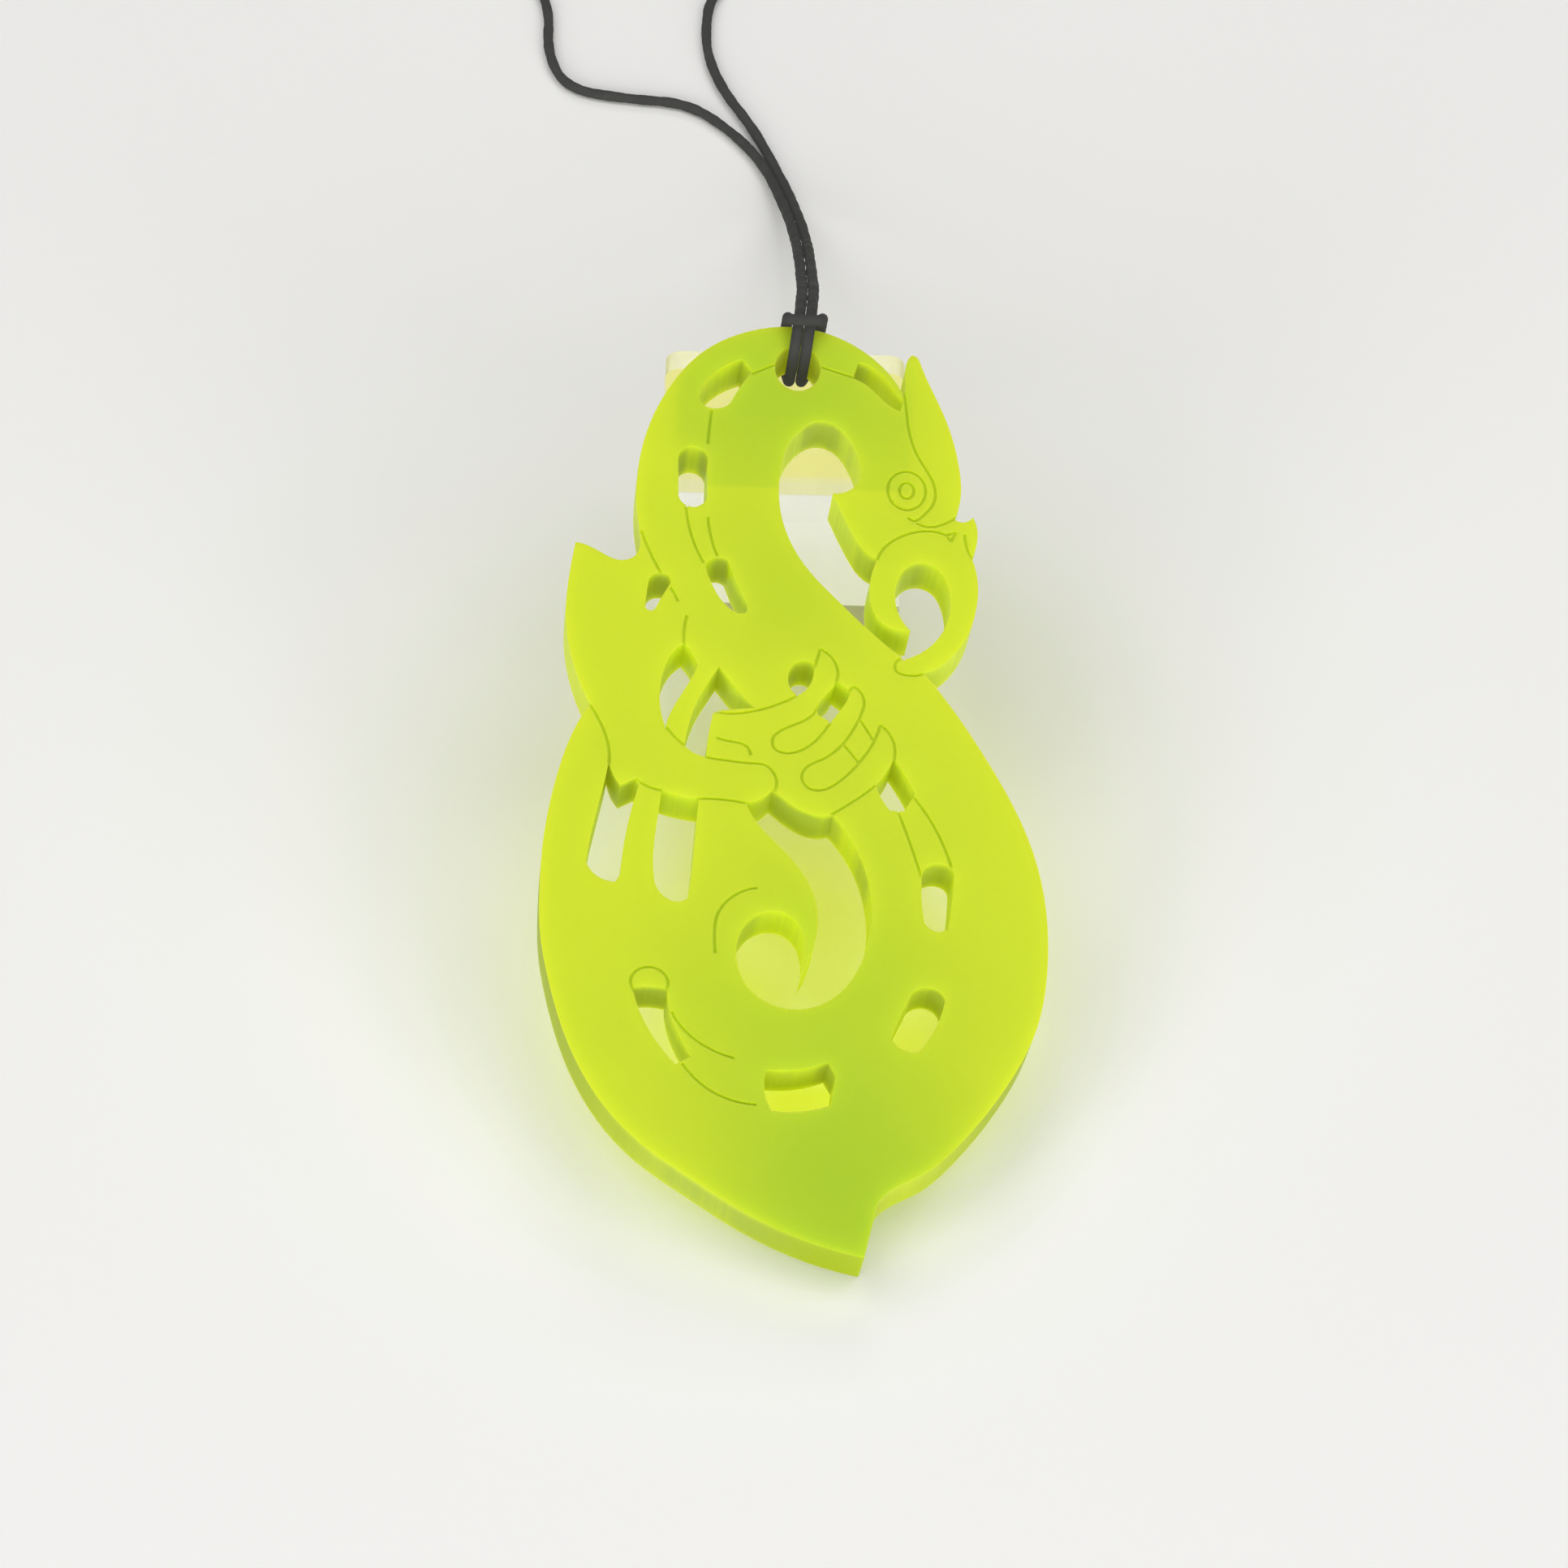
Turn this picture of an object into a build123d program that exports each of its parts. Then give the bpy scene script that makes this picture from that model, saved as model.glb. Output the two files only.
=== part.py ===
from build123d import *
import os
from math import cos, pi, radians, sin, tan

# A manaia pendant of lime acrylic sheet, propped on a small clear display stand, on
# a waxed cord that is hitched through its hole and lies in a loop behind it.
# Millimetres, +Z up. The pendant's tip points towards -Y and rests at z = 0.

# Acrylic sheet
plate_width = 47.8          # widest, across the body
plate_height = 95.2         # tip of the tail to the top of the head
plate_thickness = 6.0       # cast sheet
engrave_width = 0.32        # laser line
engrave_depth = 0.35

# How the pendant leans
lean_back = 17.6            # degrees, about X
lean_side = 4.55            # degrees, about the pendant's own long axis
tip_across = 0.633          # share of plate_width at which the tip is

# Cord
cord_diameter = 1.1         # waxed cotton
strand_gap = 0.04           # between strands that lie side by side
sheet_gap = 0.2             # between a strand and the sheet that it goes round
loop_width = 72.4           # of the loop as it lies, along X
loop_reach = 181.6          # from the middle of the footprint to the loop's far side
slide_length = 8.0          # the sliding knot that closes the loop
slide_diameter = 3.4
slide_clearance = 0.2       # round the cord in the sliding knot

# Display stand
stand_width = 24.0
stand_side = -0.7           # centre of the stand, along X
stand_turn = -1.8           # degrees, as it was set down
wall_reach = 90.2           # tip of the pendant to the wall, along Y
wall_thickness = 2.5
wall_corner = 1.6
shelf_depth = 15.0          # in front of the wall
shelf_height = 9.4
seat_gap = 0.12             # between the wall and the strands that lie on it

# The pendant's plane: its back face, x across, y up the pendant, z out of the front
turned = Plane.XY.rotated((lean_back, lean_side, 0))
tip_from_corner = turned.x_dir * (tip_across * plate_width)
front_overhang = -turned.z_dir.Y * plate_thickness
overall_depth = front_overhang + wall_reach + wall_thickness
overall_width = turned.x_dir.X * plate_width + turned.z_dir.X * plate_thickness
tip_spot = Vector(
    tip_from_corner.X - overall_width / 2,
    front_overhang - overall_depth / 2,
    0,
)
back_face = Plane(tip_spot - tip_from_corner, x_dir=turned.x_dir, z_dir=turned.z_dir)
front_face = back_face.offset(plate_thickness)


def spot(across, up):
    """A place on the sheet from shares of its width and height."""
    return (across * plate_width, up * plate_height)


def draw(stretches, start=None):
    """Lines through stretches of (across, up) rows: two ends make a straight one."""
    start = start or stretches[-1][-1]
    for stretch in stretches:
        points = [spot(*row) for row in (start, *stretch)]
        if len(points) == 2:
            Line(*points)
        else:
            Spline(*points)
        start = stretch[-1]


# Outlines, counter-clockwise or clockwise as drawn. A row is (across, up), as shares
# of plate_width and plate_height. Each list is one smooth stretch that starts where
# the one before it ends, and the first starts where the last ends.
rim = [
    [  # over the head, down the neck and out to the point of the fin
        (0.697, 0.949), (0.640, 0.976), (0.562, 0.995), (0.478, 1.000), (0.394, 0.991),
        (0.316, 0.969), (0.250, 0.930), (0.203, 0.880), (0.181, 0.825), (0.183, 0.777),
        (0.189, 0.751), (0.180, 0.734), (0.153, 0.728), (0.106, 0.737), (0.058, 0.746),
    ],
    [(0.045, 0.703), (0.042, 0.658), (0.054, 0.620), (0.093, 0.568)],  # fin
    [  # left side of the body down to the tip
        (0.066, 0.545), (0.040, 0.510), (0.019, 0.467), (0.005, 0.421), (0.000, 0.369),
        (0.003, 0.322), (0.018, 0.280), (0.045, 0.231), (0.088, 0.181), (0.143, 0.140),
        (0.210, 0.107), (0.293, 0.078), (0.395, 0.045), (0.512, 0.017), (0.633, 0.000),
    ],
    [(0.646, 0.027), (0.660, 0.055)],  # heel of the tip
    [  # right side of the body up to the beak
        (0.682, 0.067), (0.750, 0.086), (0.809, 0.111), (0.858, 0.139), (0.913, 0.177),
        (0.951, 0.210), (0.977, 0.242), (0.993, 0.279), (1.000, 0.325), (0.994, 0.376),
        (0.972, 0.426), (0.935, 0.473), (0.881, 0.524), (0.826, 0.569), (0.760, 0.614),
    ],
    [(0.801, 0.625), (0.841, 0.648), (0.867, 0.682), (0.873, 0.714), (0.862, 0.742)],  # beak
    [(0.872, 0.759), (0.873, 0.777), (0.865, 0.789)],  # nose
    [(0.846, 0.783), (0.827, 0.786)],
    [  # crest, over its round tip and down to the head
        (0.841, 0.813), (0.838, 0.846), (0.817, 0.892), (0.787, 0.930), (0.762, 0.962),
        (0.754, 0.970), (0.745, 0.972), (0.736, 0.967), (0.730, 0.953), (0.725, 0.926),
    ],
]

gaps = {
    "throat": [
        [  # neck side, from the beak's tip up and round the top
            (0.680, 0.645), (0.630, 0.669), (0.578, 0.696), (0.527, 0.725), (0.489, 0.759),
            (0.470, 0.799), (0.471, 0.829), (0.483, 0.859), (0.511, 0.881), (0.553, 0.893),
            (0.593, 0.886), (0.619, 0.868), (0.636, 0.842), (0.630, 0.823), (0.610, 0.814),
            (0.579, 0.811),
        ],
        [(0.593, 0.794), (0.616, 0.769), (0.642, 0.748), (0.669, 0.738)],  # jaw
        [  # outside of the tongue
            (0.657, 0.721), (0.653, 0.701), (0.660, 0.681), (0.677, 0.668), (0.700, 0.662),
            (0.735, 0.660),
        ],
        [  # inside of the beak's ring
            (0.712, 0.677), (0.704, 0.699), (0.714, 0.720), (0.734, 0.732), (0.761, 0.736),
            (0.791, 0.730), (0.811, 0.712), (0.817, 0.690), (0.807, 0.667), (0.787, 0.650),
            (0.759, 0.637), (0.723, 0.628),
        ],
    ],
    "brow slot left": [
        [(0.326, 0.938), (0.361, 0.953), (0.394, 0.961)],
        [(0.414, 0.947)],
        [(0.388, 0.927), (0.368, 0.909)],
        [(0.343, 0.903), (0.316, 0.906), (0.305, 0.916)],
    ],
    "brow slot right": [
        [(0.677, 0.951), (0.707, 0.932), (0.725, 0.919)],
        [(0.718, 0.907)],
        [(0.686, 0.917), (0.653, 0.934), (0.620, 0.943)],
        [(0.633, 0.962)],
    ],
    "neck slot": [
        [(0.274, 0.855), (0.294, 0.859), (0.315, 0.855), (0.324, 0.842)],
        [(0.324, 0.806)],
        [(0.316, 0.795), (0.295, 0.790), (0.273, 0.795), (0.265, 0.806)],
        [(0.264, 0.843)],
    ],
    "shoulder slot": [
        [(0.328, 0.731), (0.346, 0.735), (0.366, 0.731)],
        [(0.383, 0.708), (0.406, 0.683)],
        [(0.404, 0.675), (0.386, 0.673)],
        [(0.360, 0.683), (0.340, 0.698), (0.322, 0.720)],
    ],
    "fin drop": [
        [(0.219, 0.714), (0.237, 0.715), (0.252, 0.705)],
        [(0.236, 0.691), (0.220, 0.675)],
        [(0.209, 0.673), (0.200, 0.677)],
        [(0.202, 0.688), (0.206, 0.705)],
    ],
    "armpit": [
        [(0.247, 0.620), (0.233, 0.596), (0.232, 0.570), (0.243, 0.546)],
        [(0.264, 0.573), (0.288, 0.594), (0.307, 0.615)],
        [(0.294, 0.629), (0.279, 0.639)],
    ],
    "wrist": [
        [(0.292, 0.555), (0.309, 0.579), (0.330, 0.598), (0.349, 0.614)],
        [(0.384, 0.591), (0.421, 0.570)],
        [(0.339, 0.565)],
        [(0.329, 0.539), (0.325, 0.515)],
        [(0.304, 0.518), (0.281, 0.527)],
    ],
    "chest": [
        [(0.494, 0.615), (0.514, 0.623), (0.533, 0.622), (0.541, 0.616)],
        [(0.536, 0.602), (0.525, 0.592), (0.507, 0.585)],
        [(0.494, 0.591), (0.488, 0.604)],
    ],
    "fingers": [
        [(0.613, 0.592)],
        [(0.605, 0.580), (0.588, 0.567), (0.573, 0.557)],
        [(0.548, 0.564)],
        [(0.548, 0.575), (0.564, 0.587), (0.584, 0.603)],
    ],
    "rib slot": [
        [(0.683, 0.504), (0.662, 0.490)],
        [(0.673, 0.476), (0.690, 0.463)],
        [(0.718, 0.463)],
        [(0.741, 0.482)],
        [(0.723, 0.500), (0.699, 0.520)],
    ],
    "side slot outer": [
        [(0.118, 0.473), (0.102, 0.437), (0.090, 0.399)],
        [(0.111, 0.385), (0.148, 0.379)],
        [(0.157, 0.387)],
        [(0.163, 0.417), (0.178, 0.457), (0.193, 0.484)],
        [(0.185, 0.490)],
        [(0.155, 0.482)],
        [(0.143, 0.491), (0.132, 0.507)],
    ],
    "side slot inner": [
        [(0.229, 0.446), (0.222, 0.411), (0.224, 0.385)],
        [(0.240, 0.367), (0.266, 0.360), (0.290, 0.364)],
        [(0.297, 0.387), (0.305, 0.430), (0.311, 0.470)],
        [(0.274, 0.473), (0.237, 0.478)],
    ],
    "koru": [
        [(0.434, 0.472), (0.404, 0.467)],  # under the wrist
        [  # inner side down to the hook's point
            (0.422, 0.449), (0.470, 0.422), (0.515, 0.395), (0.540, 0.368), (0.546, 0.339),
            (0.538, 0.317), (0.513, 0.288),
        ],
        [  # inside of the hook, round the bowl and up the outer side
            (0.521, 0.317), (0.510, 0.338), (0.486, 0.350), (0.454, 0.353), (0.422, 0.347),
            (0.397, 0.333), (0.386, 0.309), (0.394, 0.286), (0.419, 0.267), (0.457, 0.255),
            (0.509, 0.251), (0.565, 0.260), (0.606, 0.279), (0.635, 0.306), (0.650, 0.336),
            (0.652, 0.368), (0.638, 0.403), (0.611, 0.433), (0.576, 0.457),
        ],
        [(0.539, 0.456), (0.499, 0.465), (0.457, 0.482)],  # under the palm
    ],
    "hip slot": [
        [(0.194, 0.251), (0.218, 0.225), (0.269, 0.191)],
        [(0.299, 0.199)],
        [(0.275, 0.222), (0.257, 0.246), (0.252, 0.269)],
        [(0.217, 0.271), (0.184, 0.269)],
    ],
    "tail slot": [
        [(0.509, 0.189), (0.566, 0.197)],
        [(0.580, 0.184)],
        [(0.570, 0.153)],
        [(0.514, 0.146), (0.456, 0.146)],
        [(0.442, 0.165), (0.446, 0.188)],
    ],
    "thigh slot": [
        [(0.740, 0.275), (0.768, 0.277), (0.795, 0.264)],
        [(0.780, 0.240), (0.742, 0.210)],
        [(0.712, 0.212), (0.688, 0.223)],
        [(0.704, 0.244), (0.724, 0.264)],
    ],
    "flank slot": [
        [(0.762, 0.404), (0.786, 0.408), (0.809, 0.404), (0.816, 0.395)],
        [(0.812, 0.369), (0.803, 0.339)],
        [(0.780, 0.336), (0.756, 0.345)],
        [(0.751, 0.368), (0.752, 0.395)],
    ],
}

# Cord hole and eye
hole_across, hole_up = 0.508, 0.9527
hole_width, hole_height = 4.5, 5.0
eye_across, eye_up = 0.730, 0.8168
eye_outer = 1.85, 2.06                # half the width and height of each ring
eye_inner = 0.71, 0.85

# Engraved lines, each one smooth stretch of (across, up) rows
lines = [
    [(0.726, 0.931), (0.731, 0.909), (0.737, 0.882), (0.758, 0.852), (0.783, 0.829),
     (0.786, 0.805), (0.765, 0.790), (0.745, 0.783), (0.732, 0.787)],          # crest
    [(0.749, 0.781), (0.782, 0.777), (0.808, 0.781), (0.833, 0.789)],          # cheek
    [(0.669, 0.738), (0.694, 0.757), (0.727, 0.767), (0.767, 0.772), (0.810, 0.768)],  # mouth
    [(0.810, 0.768), (0.831, 0.772)],                                          # mouth corner
    [(0.831, 0.772), (0.819, 0.761)],
    [(0.819, 0.761), (0.810, 0.768)],
    [(0.848, 0.770), (0.851, 0.755), (0.862, 0.742)],                          # nostril
    [(0.723, 0.628), (0.707, 0.626), (0.704, 0.616), (0.716, 0.612), (0.760, 0.614)],  # beak tip
    [(0.332, 0.902), (0.327, 0.882), (0.324, 0.862)],                          # neck band
    [(0.325, 0.780), (0.331, 0.758), (0.345, 0.736)],
    [(0.280, 0.792), (0.292, 0.758), (0.317, 0.728)],
    [(0.412, 0.944), (0.470, 0.958)],
    [(0.557, 0.955), (0.624, 0.944)],
    [(0.190, 0.762), (0.212, 0.734), (0.232, 0.714)],                          # neck over fin
    [(0.250, 0.700), (0.259, 0.692), (0.266, 0.684)],
    [(0.285, 0.670), (0.279, 0.655), (0.279, 0.637)],
    [(0.243, 0.547), (0.258, 0.538), (0.281, 0.527)],                          # elbow
    [(0.091, 0.569), (0.111, 0.552), (0.128, 0.530), (0.132, 0.505)],
    [(0.185, 0.490), (0.200, 0.484), (0.237, 0.478)],
    [(0.307, 0.470), (0.357, 0.470), (0.411, 0.466)],                          # under the arm
    [(0.337, 0.565), (0.369, 0.563), (0.424, 0.567), (0.465, 0.574), (0.507, 0.585)],  # hand
    [(0.345, 0.537), (0.373, 0.533), (0.399, 0.530), (0.413, 0.518)],          # thumb
    [(0.323, 0.515), (0.368, 0.512), (0.412, 0.510), (0.443, 0.508), (0.461, 0.498),
     (0.456, 0.477)],                                                          # over the arm
    [(0.541, 0.616), (0.553, 0.637)],                                          # first finger
    [(0.553, 0.637), (0.585, 0.619), (0.583, 0.598)],
    [(0.548, 0.575), (0.517, 0.557), (0.476, 0.547), (0.457, 0.537), (0.460, 0.527),
     (0.483, 0.522), (0.512, 0.525), (0.544, 0.537), (0.573, 0.557)],
    [(0.611, 0.592), (0.619, 0.597)],                                          # second finger
    [(0.619, 0.597), (0.640, 0.580), (0.632, 0.564), (0.599, 0.535), (0.555, 0.516),
     (0.522, 0.506), (0.515, 0.495), (0.526, 0.486), (0.552, 0.483), (0.585, 0.491),
     (0.625, 0.511), (0.659, 0.537), (0.672, 0.556)],
    [(0.672, 0.556), (0.698, 0.538), (0.699, 0.518)],                          # third finger
    [(0.662, 0.490), (0.631, 0.477), (0.600, 0.466), (0.574, 0.457)],          # palm
    [(0.597, 0.534), (0.630, 0.513)],                                          # bars between fingers
    [(0.631, 0.561), (0.659, 0.538)],
    [(0.427, 0.377), (0.381, 0.368), (0.350, 0.349), (0.343, 0.327), (0.345, 0.307)],  # koru echo
    [(0.188, 0.265), (0.190, 0.286), (0.217, 0.291), (0.244, 0.285), (0.248, 0.265)],  # hip
    [(0.260, 0.246), (0.295, 0.222), (0.344, 0.206), (0.383, 0.199)],
    [(0.281, 0.193), (0.338, 0.165), (0.426, 0.152)],
    [(0.706, 0.463), (0.730, 0.428), (0.751, 0.393)],                          # flank band
    [(0.735, 0.480), (0.780, 0.445), (0.811, 0.404)],
]

# The hitch that holds the cord in the hole, one half of it, from the strand's end on to
# the middle of the bar. A row is (side, up, out, radius): side from the hitch's own
# line, up from the hole's centre, out from the back of the sheet, radius of the bend
# in cord diameters.
rim_up = (1 - hole_up) * plate_height
strand_side = (cord_diameter + strand_gap) / 2
leg_side = strand_side + cord_diameter + strand_gap
off_sheet = cord_diameter / 2 + sheet_gap
on_front = plate_thickness + off_sheet
bar_out = on_front + cord_diameter + 3 * strand_gap
through_up = hole_height / 2 - 0.87 * cord_diameter   # pulled up against the hole's top
hitch = [
    (strand_side, rim_up + 3.1 * cord_diameter, on_front - 2.45 * cord_diameter, 0),  # end
    (strand_side, rim_up + 0.8 * cord_diameter, on_front + strand_gap, 3.1),   # over the rim
    (strand_side, through_up, on_front, 1.0),                                  # into the hole
    (strand_side, through_up, -off_sheet, 1.05),                               # out at the back
    (leg_side, rim_up + off_sheet, -off_sheet, 1.0),                           # up the back
    (leg_side, rim_up + off_sheet, on_front - 4 * strand_gap, 1.0),            # over the rim
    (leg_side, rim_up - 0.2 * cord_diameter, bar_out, 0.64),                   # bar
]
hitch_lean = 0.13           # the strands lean to the right by this much as they rise

# The loop. Both strands run side by side, down from the pendant to the table, to where
# they part. A row is (across, along, rise): shares of loop_width and loop_reach, and of
# the height of the strands' ends.
twin = [
    (0.023, 0.345, 0.640), (0.019, 0.428, 0.347), (0.008, 0.495, 0.129),
    (-0.011, 0.542, 0.021), (-0.036, 0.574, 0.0),
]
# Then each lies on the table: (across, along, height), the left strand, on round the
# far side through the sliding knot, and back to the right one
low = cord_diameter / 2 + strand_gap
up = slide_diameter / 2
free = [
    (-0.091, 0.602, low), (-0.160, 0.628, low), (-0.254, 0.632, low), (-0.351, 0.641, low),
    (-0.385, 0.675, low), (-0.383, 0.720, low), (-0.431, 0.764, low), (-0.541, 0.794, low),
    (-0.612, 0.842, low), (-0.623, 0.899, low), (-0.577, 0.951, low), (-0.453, 0.985, low),
    (-0.257, 1.000, up), (-0.008, 0.999, up), (0.182, 0.982, low), (0.323, 0.944, low),
    (0.373, 0.887, low), (0.345, 0.828, low), (0.235, 0.789, low), (0.086, 0.775, low),
    (-0.055, 0.764, low), (-0.127, 0.731, low), (-0.135, 0.698, low), (-0.130, 0.670, low),
    (-0.105, 0.639, low), (-0.061, 0.607, low),
]
knot_row = 12               # the sliding knot is on the run that starts at this row


def on_sheet(side, up, out):
    """A place by the hitch, in the world, from its own line and the hole's centre."""
    across = hole_across * plate_width + hitch_lean * up + side
    return back_face.from_local_coords(Vector(across, hole_up * plate_height + up, out))


def corner_radii(points):
    """The arc at each corner: 0.45 of the shorter run over the tangent of half the turn."""
    radii = []
    for a, b, c in zip(points, points[1:], points[2:]):
        turn = (b - a).get_angle(c - b)
        radii.append(0.45 * min((b - a).length, (c - b).length) / tan(radians(turn / 2)))
    return radii


hitch_points = [on_sheet(side, up, out) for side, up, out, radius in hitch]
hitch_points += [on_sheet(-side, up, out) for side, up, out, radius in reversed(hitch)]
bends = [radius * cord_diameter for side, up, out, radius in hitch[1:]]
hitch_radii = bends + bends[::-1]

strand_ends = hitch_points[0], hitch_points[-1]
after_hitch = [
    end + (end - next_in).normalized() * 6.4 * cord_diameter
    for end, next_in in zip(strand_ends, (hitch_points[1], hitch_points[-2]))
]
end_height = strand_ends[0].Z
middle_line = [
    Vector(across * loop_width, along * loop_reach, low + rise * (end_height - low))
    for across, along, rise in twin
]
laid = [
    Vector(across * loop_width, along * loop_reach, height) for across, along, height in free
]
aside = Vector(strand_side, 0, 0)
loop_points = [
    strand_ends[1], after_hitch[1], *(place - aside for place in middle_line), *laid,
    *(place + aside for place in reversed(middle_line)), after_hitch[0], strand_ends[0],
]
loop_radii = corner_radii(loop_points)

with BuildPart() as pendant:
    with BuildSketch(back_face):
        with BuildLine():
            draw(rim)
        make_face()
        for gap in gaps.values():
            with BuildLine():
                draw(gap)
            make_face(mode=Mode.SUBTRACT)
        with Locations(spot(hole_across, hole_up)):
            Ellipse(hole_width / 2, hole_height / 2, mode=Mode.SUBTRACT)
    extrude(amount=plate_thickness)
    with BuildSketch(front_face):
        for line in lines:
            with BuildLine():
                draw([line[1:]], start=line[0])
            trace(line_width=engrave_width)
        with Locations(spot(eye_across, eye_up)):
            for half_width, half_height in (eye_outer, eye_inner):
                Ellipse(half_width + engrave_width / 2, half_height + engrave_width / 2)
                Ellipse(
                    half_width - engrave_width / 2,
                    half_height - engrave_width / 2,
                    mode=Mode.SUBTRACT,
                )
    extrude(amount=-engrave_depth, mode=Mode.SUBTRACT)

# The wall's top carries the strands that lie between it and the pendant
wall_front = tip_spot.Y + wall_reach
leg_right = on_sheet(leg_side, rim_up, -off_sheet)
strand_top = leg_right.Z - (wall_front - leg_right.Y) * turned.z_dir.Y / turned.z_dir.Z
wall_height = strand_top - (cord_diameter / 2 + seat_gap) / turned.z_dir.Z
along_wall = Vector(cos(radians(stand_turn)), sin(radians(stand_turn)), 0)
through_wall = Vector(-along_wall.Y, along_wall.X, 0)
stand_profile = Plane((stand_side, wall_front, 0), x_dir=through_wall, z_dir=along_wall)

with BuildPart() as stand:
    with BuildSketch(stand_profile):
        with BuildLine():
            Polyline(
                (-shelf_depth, 0),
                (wall_thickness, 0),
                (wall_thickness, wall_height),
                (0, wall_height),
                (0, shelf_height),
                (-shelf_depth, shelf_height),
                close=True,
            )
        make_face()
    extrude(amount=stand_width / 2, both=True)
    top_corners = stand.edges().filter_by(Axis((0, 0, 0), tuple(through_wall))).group_by(Axis.Z)[-1]
    fillet(top_corners, wall_corner)

with BuildPart() as cord_hitch:
    with BuildLine() as hitch_path:
        FilletPolyline(*hitch_points, radius=hitch_radii)
    with BuildSketch(Plane(hitch_path.line @ 0, z_dir=hitch_path.line % 0)):
        Circle(cord_diameter / 2)
    sweep(path=hitch_path.line)

with BuildPart() as cord:
    with BuildLine() as loop_path:
        FilletPolyline(*loop_points, radius=loop_radii)
    with BuildSketch(Plane(loop_path.line @ 0, z_dir=loop_path.line % 0)):
        Circle(cord_diameter / 2)
    sweep(path=loop_path.line)

slide_from, slide_to = laid[knot_row], laid[knot_row + 1]
slide_plane = Plane((slide_from + slide_to) / 2, z_dir=slide_to - slide_from)
with BuildPart() as slide_knot:
    with BuildSketch(slide_plane):
        Circle(slide_diameter / 2)
        Circle(cord_diameter / 2 + slide_clearance, mode=Mode.SUBTRACT)
    extrude(amount=slide_length / 2, both=True)

os.makedirs("parts", exist_ok=True)
pieces = {
    "pendant": pendant,
    "cord_hitch": cord_hitch,
    "cord": cord,
    "slide_knot": slide_knot,
    "stand": stand,
}
for name, piece in pieces.items():
    piece.part.label = name
    export_step(piece.part, f"parts/{name}.step")
    print(name, round(piece.part.volume, 1), piece.part.is_valid, piece.part.bounding_box())

section = pi * cord_diameter**2 / 4
tubes = (cord_hitch, hitch_path, hitch_radii), (cord, loop_path, loop_radii)
for tube, path, radii in tubes:
    length = path.wires()[0].length
    print(tube.part.label, "length", round(length, 1))
    print("volume over section times length", round(tube.part.volume / section / length, 4))
    print("radii", [round(radius, 1) for radius in radii])
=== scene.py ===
from math import cos, pi, radians, sin

import bpy
from mathutils import Matrix, Vector


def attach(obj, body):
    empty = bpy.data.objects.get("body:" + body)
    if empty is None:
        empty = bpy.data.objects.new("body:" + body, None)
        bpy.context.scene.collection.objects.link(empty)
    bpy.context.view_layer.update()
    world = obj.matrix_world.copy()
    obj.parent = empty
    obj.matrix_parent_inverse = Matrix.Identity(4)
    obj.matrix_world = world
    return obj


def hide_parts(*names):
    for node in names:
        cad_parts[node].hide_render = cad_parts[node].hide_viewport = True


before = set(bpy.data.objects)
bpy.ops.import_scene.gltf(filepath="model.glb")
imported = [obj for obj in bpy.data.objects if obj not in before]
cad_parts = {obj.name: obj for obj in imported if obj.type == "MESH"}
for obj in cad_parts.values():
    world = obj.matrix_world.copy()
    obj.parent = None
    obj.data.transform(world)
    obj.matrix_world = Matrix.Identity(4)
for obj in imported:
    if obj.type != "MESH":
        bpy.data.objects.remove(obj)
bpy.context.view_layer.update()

# Lime acrylic manaia pendant on a clear stand, with its waxed cord lying behind it
mm = 0.001
black = (0.0, 0.0, 0.0, 1.0)


def colour(red, green, blue):  # 0 to 255 as seen, to linear
    def linear(value):
        value /= 255
        return value / 12.92 if value <= 0.04045 else ((value + 0.055) / 1.055) ** 2.4
    return (linear(red), linear(green), linear(blue), 1.0)


class Wire:  # a socket that takes part in expressions
    def __init__(self, shader, socket):
        self.shader, self.socket = shader, socket

    def maths(self, operation, *values):
        return self.shader.add("Math", {"operation": operation}, dict(enumerate(values)))

    def __add__(self, other): return self.maths("ADD", self, other)
    def __radd__(self, other): return self.maths("ADD", other, self)
    def __sub__(self, other): return self.maths("SUBTRACT", self, other)
    def __rsub__(self, other): return self.maths("SUBTRACT", other, self)
    def __mul__(self, other): return self.maths("MULTIPLY", self, other)
    def __rmul__(self, other): return self.maths("MULTIPLY", other, self)
    def __truediv__(self, other): return self.maths("DIVIDE", self, other)
    def __rtruediv__(self, other): return self.maths("DIVIDE", other, self)
    def __pow__(self, other): return self.maths("POWER", self, other)
    def __rpow__(self, other): return self.maths("POWER", other, self)
    def __abs__(self): return self.maths("ABSOLUTE", self)

    def along(self, direction):  # how far a place is along a direction
        return self.shader.add("VectorMath", {"operation": "DOT_PRODUCT"},
                               {0: self, 1: tuple(direction)}, "Value")

    def to(self, low, high, outLow=0.0, outHigh=1.0):  # eased step from low to high
        return self.shader.add("MapRange", {"interpolation_type": "SMOOTHSTEP"},
                               {"Value": self, "From Min": low, "From Max": high,
                                "To Min": outLow, "To Max": outHigh})


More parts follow.
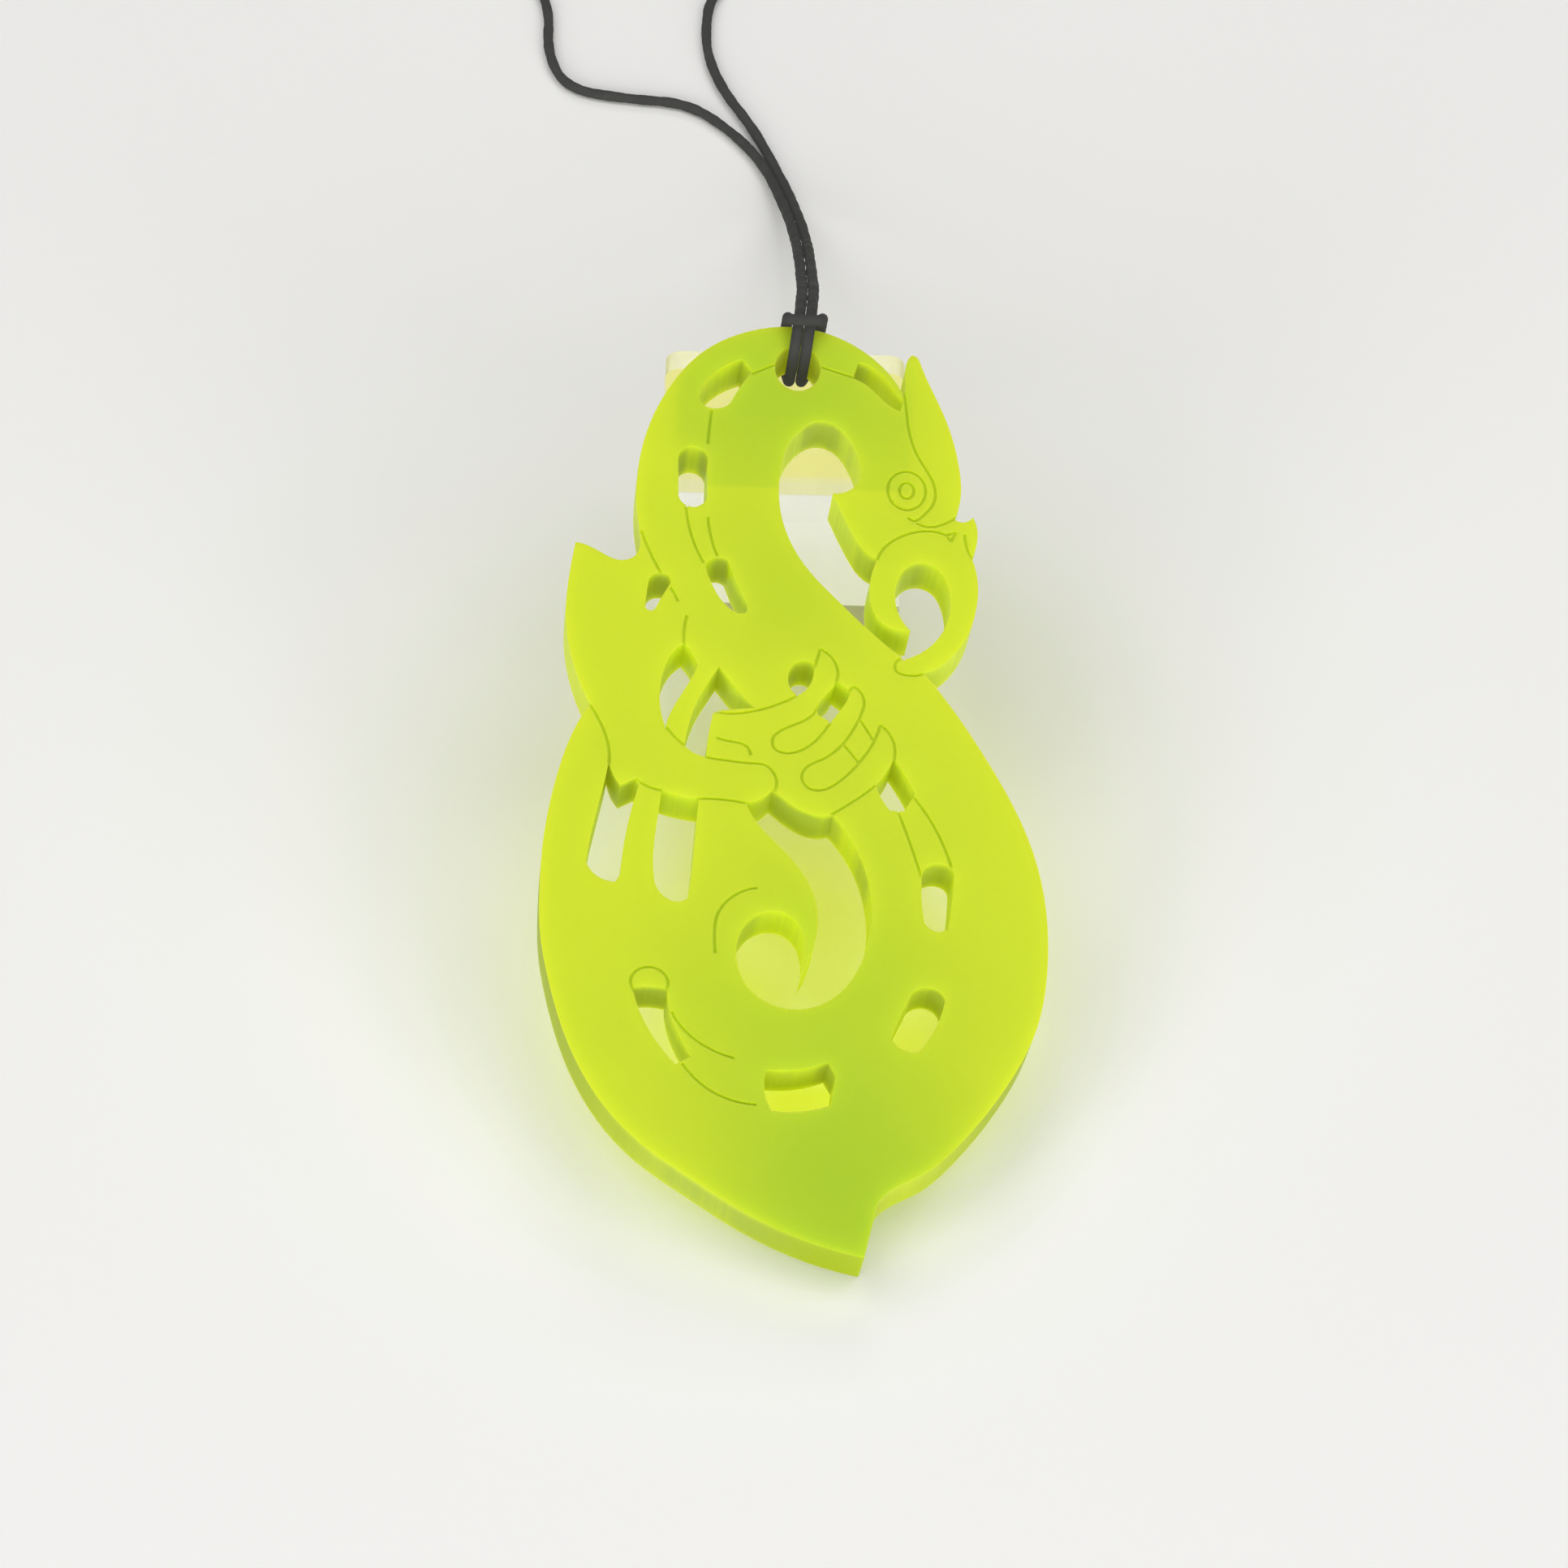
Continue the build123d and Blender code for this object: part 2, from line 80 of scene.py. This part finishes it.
class Shader:  # a node tree and the surface that it feeds
    def __init__(self, material, surface="Principled BSDF"):
        self.material = material
        self.material.use_nodes = True
        self.tree = self.material.node_tree
        self.surface = self.tree.nodes[surface]

    def add(self, kind, settings=None, inputs=None, output=0):
        node = self.tree.nodes.new("ShaderNode" + kind)
        for name, value in (settings or {}).items():
            setattr(node, name, value)
        for name, value in (inputs or {}).items():
            self.feed(node.inputs[name], value)
        return Wire(self, node.outputs[output])

    def feed(self, socket, value):
        if isinstance(value, Wire):
            self.tree.links.new(value.socket, socket)
        else:
            socket.default_value = value

    def set(self, **values):  # the surface's own sockets, by name
        for name, value in values.items():
            self.feed(self.surface.inputs[name.replace("_", " ")], value)

    def place(self):
        return self.add("TexCoord", output="Object")

    def noise(self, scale, detail, where=None, rough=0.5):
        return self.add("TexNoise", {}, {"Vector": where or self.place(), "Scale": scale,
                                         "Detail": detail, "Roughness": rough}, "Fac")

    def blend(self, mask, first, second):  # colours by a mask
        return self.add("Mix", {"data_type": "RGBA"}, {0: mask, 6: first, 7: second}, 2)

    def bump(self, height, distance, strength):
        return self.add("Bump", {}, {"Height": height, "Distance": distance,
                                     "Strength": strength}, "Normal")


view = {
    "from": (-0.74, -299.43, 373.45),
    "at": (-0.74, -3.11, 20.31),
    "lens": 111.8,
    "sensor": 36.0,
    "near": 10.0,
    "far": 10000.0,
}


def makeCamera():
    camera = bpy.data.objects.new("camera", bpy.data.cameras.new("camera"))
    camera.data.lens, camera.data.sensor_width = view["lens"], view["sensor"]
    camera.data.clip_start, camera.data.clip_end = view["near"] * mm, view["far"] * mm
    place, aim = Vector(view["from"]) * mm, Vector(view["at"]) * mm
    camera.location = place
    camera.rotation_euler = (aim - place).to_track_quat("-Z", "Y").to_euler()
    bpy.context.scene.collection.objects.link(camera)
    bpy.context.scene.camera = camera
    print("camera set")


makeCamera()


cordLook = {
    "diameter": 1.1,
    "length": 383.3,
    "sides": 24,
    "rings": 36,               # between two points of the route
    "lump": 0.07,              # slow swelling, share of the radius
    "lift": 0.4,               # raises the swelling, which runs from -1 to 1
    "shortWave": (0.6, 1.7),   # share of the swelling, radians per mm
    "stray": (2, 0.31),        # radians by which the short wave strays, radians per mm
    "longWave": (0.4, 0.57),
    "plait": 0.035,            # height of the plait, share of the radius
    "strands": 4,              # each way round
    "turn": 5.2,               # length in which a strand goes once round
}
cordRoute = [
    (0.92, 47.19, 34.09), (1.13, 53.3, 30.59), (1.1, 62.65, 21.97), (0.81, 77.72, 12.18),
    (0.01, 89.89, 4.9), (-1.37, 98.43, 1.29), (-3.18, 104.24, 0.59), (-6.59, 109.32, 0.59),
    (-11.58, 114.04, 0.59), (-18.39, 114.77, 0.59), (-25.41, 116.41, 0.59),
    (-27.87, 122.58, 0.59), (-27.73, 130.75, 0.59), (-31.2, 138.74, 0.59),
    (-39.17, 144.19, 0.59), (-44.31, 152.91, 0.59), (-45.11, 163.26, 0.59),
    (-41.77, 172.7, 0.59), (-32.8, 178.88, 0.59), (-18.61, 181.6, 1.7), (-0.58, 181.42, 1.7),
    (13.18, 178.33, 0.59), (23.39, 171.43, 0.59), (27.01, 161.08, 0.59),
    (24.98, 150.36, 0.59), (17.01, 143.28, 0.59), (6.23, 140.74, 0.59),
    (-3.98, 138.74, 0.59), (-9.19, 132.75, 0.59), (-9.77, 126.76, 0.59),
    (-9.41, 121.67, 0.59), (-7.6, 116.04, 0.59), (-4.42, 110.23, 0.59),
    (-2.04, 104.24, 0.59), (-0.23, 98.43, 1.29), (1.15, 89.89, 4.9), (1.95, 77.72, 12.18),
    (2.24, 62.65, 21.97), (2.27, 53.33, 30.5), (2.06, 47.22, 34.0),
]


def routeLine(points, rings):  # the smooth line of a route
    curve = bpy.data.curves.new("route", "CURVE")
    curve.dimensions, curve.resolution_u = "3D", rings
    spline = curve.splines.new("NURBS")
    spline.points.add(len(points) - 1)
    for point, place in zip(spline.points, points):
        point.co = (*(Vector(place) * mm), 1.0)
    spline.order_u, spline.use_endpoint_u = 3, True
    route = bpy.data.objects.new("route", curve)
    bpy.context.scene.collection.objects.link(route)
    line = bpy.data.meshes.new_from_object(route)
    places = [vertex.co.copy() for vertex in line.vertices]
    bpy.data.objects.remove(route)
    return places


def makeMesh(name, vertices, faces):
    mesh = bpy.data.meshes.new(name)
    mesh.from_pydata(vertices, [], faces)
    mesh.shade_smooth()
    piece = bpy.data.objects.new(name, mesh)
    bpy.context.scene.collection.objects.link(piece)
    return piece


def swelling(run):  # at a length in mm along the cord
    shortShare, shortRate = cordLook["shortWave"]
    longShare, longRate = cordLook["longWave"]
    strayFar, strayRate = cordLook["stray"]
    short = sin(run * shortRate + strayFar * sin(run * strayRate))
    return shortShare * short + longShare * sin(run * longRate)


def makeCord():
    line = routeLine(cordRoute, cordLook["rings"])
    radius, sides = cordLook["diameter"] / 2 * mm, cordLook["sides"]
    vertices, faces = [], []
    run, side = 0.0, Vector((1, 0, 0))
    for number, place in enumerate(line):
        ahead = (line[min(number + 1, len(line) - 1)] - line[max(number - 1, 0)]).normalized()
        side = (side - ahead * side.dot(ahead)).normalized()
        over = ahead.cross(side)
        run += (place - line[max(number - 1, 0)]).length / mm
        lump = cordLook["lump"] * (swelling(run) + cordLook["lift"])
        wound = 2 * pi * run / cordLook["turn"]
        for step in range(sides):
            angle = 2 * pi * step / sides
            plait = max(cos(cordLook["strands"] * (angle + wound)),
                        cos(cordLook["strands"] * (angle - wound)))
            reach = radius * (1 + lump + cordLook["plait"] * (plait - 1))
            vertices.append(place + side * cos(angle) * reach + over * sin(angle) * reach)
            if number:
                a, b = number * sides + step, number * sides + (step + 1) % sides
                faces.append((a - sides, b - sides, b, a))
    last = (len(line) - 1) * sides
    faces += [tuple(range(sides))[::-1], tuple(range(last, last + sides))]
    piece = makeMesh("neckCord", vertices, faces)
    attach(piece, "root")
    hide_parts("cord")
    print("cord made")
    return piece


neckCord = makeCord()


sheet = {
    "leanBack": 17.6,                      # degrees
    "leanSide": 4.55,
    "corner": (-24.063, -46.172, 2.288),   # lower left of the back face
    "width": 47.8,
    "height": 95.2,
    "thick": 6.0,
    # colours of the face, its mottle and painted shade, the openings' walls, their painted shade
    # and the rim's painted shade
    "face": colour(196, 212, 44),
    "mottleAndShade": colour(154, 189, 44),
    "wall": colour(188, 209, 40),
    "shade": colour(138, 160, 60),
    "rim": colour(150, 172, 0),
    "paintedGlow": (0.80, 0.85, 0.01, 1.0),       # painted light: glow for the sheet's fluorescence and for the light it lets through
    "glowAll": 0.07,                       # how strong it is all over
    "glowWall": 0.1,                       # what the openings' walls add
    "glowBack": (2.5, 0.12),               # what the back adds, at its middle and at its edge
    "roughness": 0.45,
    "specular": 0.12,
    "ior": 1.49,
    "scatter": 0.6,
    "scatterReach": 4.0,                   # mm
    "scatterColour": (1.0, 1.0, 0.2),      # shares of that reach
    "frost": (9000.0, 0.02, 0.3),          # fineness, height and strength of the frosted relief
    "facing": (0.5, 0.8),                  # cosines at which a face begins and is whole
    "mottle": (60.0, 0.05),                # fineness and strength of the face's unevenness
    # ovals as across, up, reach across, reach up
    "rimOval": (0.50, 0.32, 0.50, 0.33),
    "rimFrom": (0.80, 0.95),               # shares of the oval at which the rim sets in
    "rimTop": (0.40, 0.55),                # and how far up it goes over into the other walls
    "backOval": (0.52, 0.37, 0.42, 0.30),
    "backFade": (0.10, 1.10),
    # across, up, reach across, reach up, strength of the painted shade on the face, darker where
    # less light comes through
    "faceShades": [
        (0.62, 0.02, 0.26, 0.14, 0.60),
        (0.50, 0.15, 0.36, 0.17, 0.35),
        (0.55, 0.30, 0.30, 0.20, 0.35),
        (0.50, 0.95, 0.30, 0.10, 0.35),
        (0.42, 0.84, 0.20, 0.12, 0.15),
        (0.50, 0.69, 0.18, 0.09, 0.35),
    ],
    "faceShadeFade": 1.6,                      # of their reach
    "behindUp": (0.812, 0.818),            # from here up the stand's wall is behind, with painted shade on the face
    "behindAcross": (0.22, 0.26),          # this far each way from the middle
    "behindShade": 0.3,
    "downShade": 0.2,                      # on walls that face down the sheet
    "downFacing": (-0.2, 1.2),             # cosines at which it begins and is whole
    "shadeStreaks": (1.4, -0.12, 0.06),         # fineness, and how much paler and darker they make the painted shade
    "shadeFrom": (-0.10, 0.25),            # depth in the sheet at which the shade sets in
    "shadeBack": (0.60, 1.10, 0.75),       # depth at which it goes down again, and its share
    "shadowFade": (0.3, 1.3),              # of the shadows' reach
    # across, up, reach in mm, strength of the shadows on the walls of the openings
    "shadows": [
        (0.405, 0.956, 1.6, 0.6), (0.475, 0.970, 1.3, 0.6), (0.552, 0.962, 1.4, 0.6),
        (0.628, 0.955, 1.5, 0.9), (0.560, 0.893, 2.2, 0.8), (0.610, 0.875, 2.5, 0.3),
        (0.510, 0.880, 2.2, 0.3), (0.272, 0.853, 0.9, 0.9), (0.320, 0.851, 0.9, 0.9),
        (0.355, 0.735, 1.1, 0.9), (0.235, 0.716, 1.5, 0.7), (0.204, 0.694, 1.2, 0.7),
        (0.742, 0.734, 1.8, 0.7), (0.795, 0.728, 1.4, 0.1), (0.720, 0.663, 2.2, 0.25),
        (0.655, 0.742, 2.2, 0.6), (0.600, 0.785, 2.5, 0.2), (0.515, 0.624, 2.0, 0.5),
        (0.450, 0.480, 2.2, 0.5), (0.500, 0.465, 2.4, 0.8), (0.555, 0.456, 2.2, 0.8),
        (0.640, 0.400, 2.2, 0.75), (0.400, 0.336, 2.6, 0.7), (0.217, 0.271, 2.4, 0.8),
        (0.765, 0.277, 2.0, 0.6), (0.792, 0.266, 1.6, 0.9), (0.500, 0.189, 3.4, 0.35),
        (0.573, 0.193, 1.4, 1.0), (0.785, 0.407, 2.0, 0.55), (0.136, 0.500, 1.8, 0.9),
        (0.160, 0.484, 1.4, 0.9), (0.250, 0.476, 1.5, 0.1), (0.350, 0.612, 2.0, 0.6),
        (0.575, 0.557, 1.2, 0.35), (0.700, 0.518, 1.5, 0.4), (0.220, 0.100, 6.0, 0.4),
        (0.380, 0.050, 7.0, 0.6), (0.540, 0.010, 8.0, 0.7),
    ],
}


def oval(across, up, shape):  # 0 at its middle, 1 at its edge
    atAcross, atUp, reachAcross, reachUp = shape
    return (((across - atAcross) / reachAcross) ** 2 + ((up - atUp) / reachUp) ** 2) ** 0.5


def limeAcrylic():
    shader = Shader(bpy.data.materials.new("limeAcrylic"))
    turn = (Matrix.Rotation(radians(sheet["leanBack"]), 3, "X")
            @ Matrix.Rotation(radians(sheet["leanSide"]), 3, "Y"))
    corner = Vector(sheet["corner"]) * mm
    place, normal = shader.place(), shader.add("NewGeometry", output="Normal")

    def share(axis, length):  # how far a place is along one of the sheet's own axes
        return (place.along(turn.col[axis]) - corner.dot(turn.col[axis])) / (length * mm)

    across, up = share(0, sheet["width"]), share(1, sheet["height"])
    sunk = 1 - share(2, sheet["thick"])
    flat = shader.add("CombineXYZ", {}, {"X": across * sheet["width"], "Y": up * sheet["height"]})
    out = normal.along(turn.col[2])
    edge, full = sheet["facing"]
    wall, back = 1 - abs(out).to(edge, full), 1 - out.to(-full, -edge)

    fineness, strength = sheet["mottle"]
    # the face's random mottle, with painted shade laid on where less light comes through
    mottleAndShade = shader.noise(fineness, 2.0).to(0.3, 0.7, -strength, strength)
    for *shape, strength in sheet["faceShades"]:
        mottleAndShade = mottleAndShade + oval(across, up, shape).to(0.0, sheet["faceShadeFade"], strength, 0.0)
    # painted shade on the face where the stand's wall stands behind it
    behind = up.to(*sheet["behindUp"], 0.0, sheet["behindShade"])
    mottleAndShade = mottleAndShade + behind * abs(across - 0.5).to(*sheet["behindAcross"], 1.0, 0.0)
    face = shader.blend(mottleAndShade, sheet["face"], sheet["mottleAndShade"])

    # painted shade: the rim's walls low on the sheet take a darker colour of their own
    rim = (oval(across, up, sheet["rimOval"]).to(*sheet["rimFrom"])
           * up.to(*sheet["rimTop"], 1.0, 0.0))
    # painted shade on the openings' walls: more where they face down the sheet, and at the listed
    # spots
    dark = normal.along(-turn.col[1]).to(*sheet["downFacing"], 0.0, sheet["downShade"])
    inner, outer = sheet["shadowFade"]
    for atAcross, atUp, reach, strength in sheet["shadows"]:
        spot = (atAcross * sheet["width"], atUp * sheet["height"], 0)
        far = shader.add("VectorMath", {"operation": "DISTANCE"}, {0: flat, 1: spot}, "Value")
        dark = dark + far.to(inner * reach, outer * reach, strength, 0.0)
    fineness, paler, darker = sheet["shadeStreaks"]
    shadeStreak = shader.noise(fineness, 3.0, flat, 0.6).to(0.35, 0.65, paler, darker)
    low, high, least = sheet["shadeBack"]
    dark = (dark + shadeStreak) * sunk.to(*sheet["shadeFrom"]) * sunk.to(low, high, 1.0, least)
    # the walls' colour with their painted shade, and the rim's own painted shade
    shadedWalls = shader.blend(rim, shader.blend(dark, sheet["wall"], sheet["shade"]), sheet["rim"])

    # painted light: the sheet glows all over, more on the openings' walls, and most in the middle
    # of its back
    middle = oval(across, up, sheet["backOval"]).to(*sheet["backFade"], *sheet["glowBack"])
    paintedGlowShare = wall * (1 - rim) * sheet["glowWall"] + back * middle + sheet["glowAll"]
    fineness, height, strength = sheet["frost"]
    shader.set(Base_Color=shader.blend(wall, face, shadedWalls), Roughness=sheet["roughness"],
               IOR=sheet["ior"], Specular_IOR_Level=sheet["specular"],
               Subsurface_Weight=sheet["scatter"], Subsurface_Radius=sheet["scatterColour"],
               Subsurface_Scale=sheet["scatterReach"] * mm,
               Emission_Color=shader.blend(paintedGlowShare, black, sheet["paintedGlow"]), Emission_Strength=1.0,
               Normal=shader.bump(shader.noise(fineness, 3.0), height * mm, strength))
    return shader.material


clear = {
    "shelf": 9.4,                          # height of the shelf
    "seam": (0.2, 0.3),                    # below and above it, where the wall takes over
    "topBand": (0.4, 0.6),                 # shares of its height above which its top counts
    "middle": 39.0,                        # half way back on the shelf
    "middleSoft": 1.0,
    "pale": colour(250, 252, 235),
    "paintedGlowTint": colour(236, 230, 95),          # painted light: the wall tinted by the pendant's glow
    # painted shade on the shelf's front face
    "front": colour(122, 128, 40),
    "lit": (0.13, 0.13, 0.0, 1.0),         # painted light in the wall's front
    "paintedDaylight": (0.34, 0.34, 0.42, 1.0),       # painted daylight in the shelf's top
    "ior": 1.25,                           # low, so that the thin walls show quietly
    "solid": 0.25,                         # alpha all over
    "solidWall": 0.3,                      # what the wall and the front add to it
    "solidFront": 0.5,
    "facing": (0.3, 0.8),                  # cosines at which a front begins and is whole
    "above": (0.5, 0.9),                   # the same for the shelf's top
    "haze": (400.0, 0.02, 0.06),           # fineness, and roughness where clear and where hazy
}


def clearAcrylic():
    shader = Shader(bpy.data.materials.new("clearAcrylic"))
    height, depth = shader.place().along((0, 0, 1)), shader.place().along((0, 1, 0))
    shelf, (below, over) = clear["shelf"], clear["seam"]
    wall = height.to((shelf - below) * mm, (shelf + over) * mm)
    middle, soft = clear["middle"], clear["middleSoft"]
    near = depth.to((middle - soft) * mm, (middle + soft) * mm, 1.0, 0.0)
    normal = shader.add("NewGeometry", output="Normal")
    ahead = normal.along((0, -1, 0)).to(*clear["facing"])
    above = normal.along((0, 0, 1)).to(*clear["above"])
    # the normal turns round where the surface is seen from within, so place has a say too
    low, high = clear["topBand"]
    top = above * height.to(shelf * low * mm, shelf * high * mm)
    front = ahead * near * (1 - wall)
    fineness, least, most = clear["haze"]
    haze = shader.noise(fineness, 2.0).to(0.3, 0.7, least, most)
    # painted light in the wall's front and the shelf's top, and painted shade on the shelf's
    # front
    paintedGlow = shader.blend(wall * ahead, shader.blend(top, black, clear["paintedDaylight"]), clear["lit"])
    tone = shader.blend(front, shader.blend(wall, clear["pale"], clear["paintedGlowTint"]), clear["front"])
    solid = wall * clear["solidWall"] + front * clear["solidFront"] + clear["solid"]
    shader.set(Base_Color=tone, Roughness=haze, IOR=clear["ior"], Transmission_Weight=1.0,
               Alpha=solid, Emission_Color=paintedGlow, Emission_Strength=1.0)
    return shader.material


wax = {
    "dark": colour(51, 51, 50),
    "pale": colour(57, 57, 55),
    "fineness": 500.0,                     # of its uneven coat
    "roughness": 0.9,
    "polish": 0.25,                        # takes off roughness where the wax lies thick
    "specular": 0.03,
    "lift": (0.026, 0.026, 0.025, 1.0),    # painted light: a faint glow, so that the black still shows its form
    "fibres": (2500.0, 0.08, 0.7),         # fineness, height and strength of their relief
}


def waxedCord():
    shader = Shader(bpy.data.materials.new("waxedCord"))
    thick = shader.noise(wax["fineness"], 3.0).to(0.35, 0.75)
    fineness, height, strength = wax["fibres"]
    # the coat's colour is uneven at random, and its emission is painted light
    shader.set(Base_Color=shader.blend(thick, wax["dark"], wax["pale"]),
               Roughness=thick * -wax["polish"] + wax["roughness"],
               Specular_IOR_Level=wax["specular"],
               Emission_Color=wax["lift"], Emission_Strength=1.0,
               Normal=shader.bump(shader.noise(fineness, 4.0), height * mm, strength))
    return shader.material


def paint(piece, material):
    piece.data.materials.clear()
    piece.data.materials.append(material)


paint(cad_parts["pendant"], limeAcrylic())
paint(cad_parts["stand"], clearAcrylic())
cordWax = waxedCord()
for piece in (neckCord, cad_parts["cord_hitch"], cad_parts["slide_knot"]):
    paint(piece, cordWax)
for node in ("pendant", "stand", "cord_hitch", "slide_knot"):
    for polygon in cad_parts[node].data.polygons:
        polygon.material_index = 0
print("materials set")


studio = {
    "floor": colour(249, 248, 246),
    "floorRoughness": 0.8,
    "floorSize": 6.0,                       # metres
    "floorDrop": 0.05,                      # mm below the pendant's tip
    "sky": 0.04,
    "reach": 1.8,                           # of the softboxes, metres
    # round from +X and up in degrees, size in metres, share of the light on the floor
    "softboxes": [
        (-20, 50, 0.8, 0.06), (20, 50, 0.8, 0.06), (160, 50, 0.8, 0.06), (200, 50, 0.8, 0.06),
        (0, 74, 0.8, 0.13), (180, 74, 0.8, 0.13),
        (-50, 20, 1.0, 0.115), (-90, 20, 1.0, 0.12), (-130, 20, 1.0, 0.12),
        (90, 40, 0.7, 0.09),
    ],
}


def makeStudio():
    bpy.ops.mesh.primitive_plane_add(size=studio["floorSize"],
                                     location=(0, 0, -studio["floorDrop"] * mm))
    floor = bpy.context.object
    floor.name = "floor"
    shader = Shader(bpy.data.materials.new("paper"))
    shader.set(Base_Color=studio["floor"], Roughness=studio["floorRoughness"])
    paint(floor, shader.material)
    sky = Shader(bpy.data.worlds.new("sky"), "Background")
    sky.set(Color=(1, 1, 1, 1), Strength=studio["sky"])
    bpy.context.scene.world = sky.material
    for number, (bearing, height, size, share) in enumerate(studio["softboxes"]):
        lamp = bpy.data.lights.new(f"softbox{number}", "AREA")
        lamp.energy = share * (pi * studio["reach"]) ** 2 / sin(radians(height))  # watts
        lamp.shape, lamp.size = "SQUARE", size
        light = bpy.data.objects.new(f"softbox{number}", lamp)
        way = Vector((cos(radians(bearing)), sin(radians(bearing)), 0)) * cos(radians(height))
        light.location = (way + Vector((0, 0, sin(radians(height))))) * studio["reach"]
        light.rotation_euler = (-light.location).to_track_quat("-Z", "Y").to_euler()
        bpy.context.scene.collection.objects.link(light)
    print("studio lit")


makeStudio()
bpy.context.scene.view_settings.view_transform = "Standard"
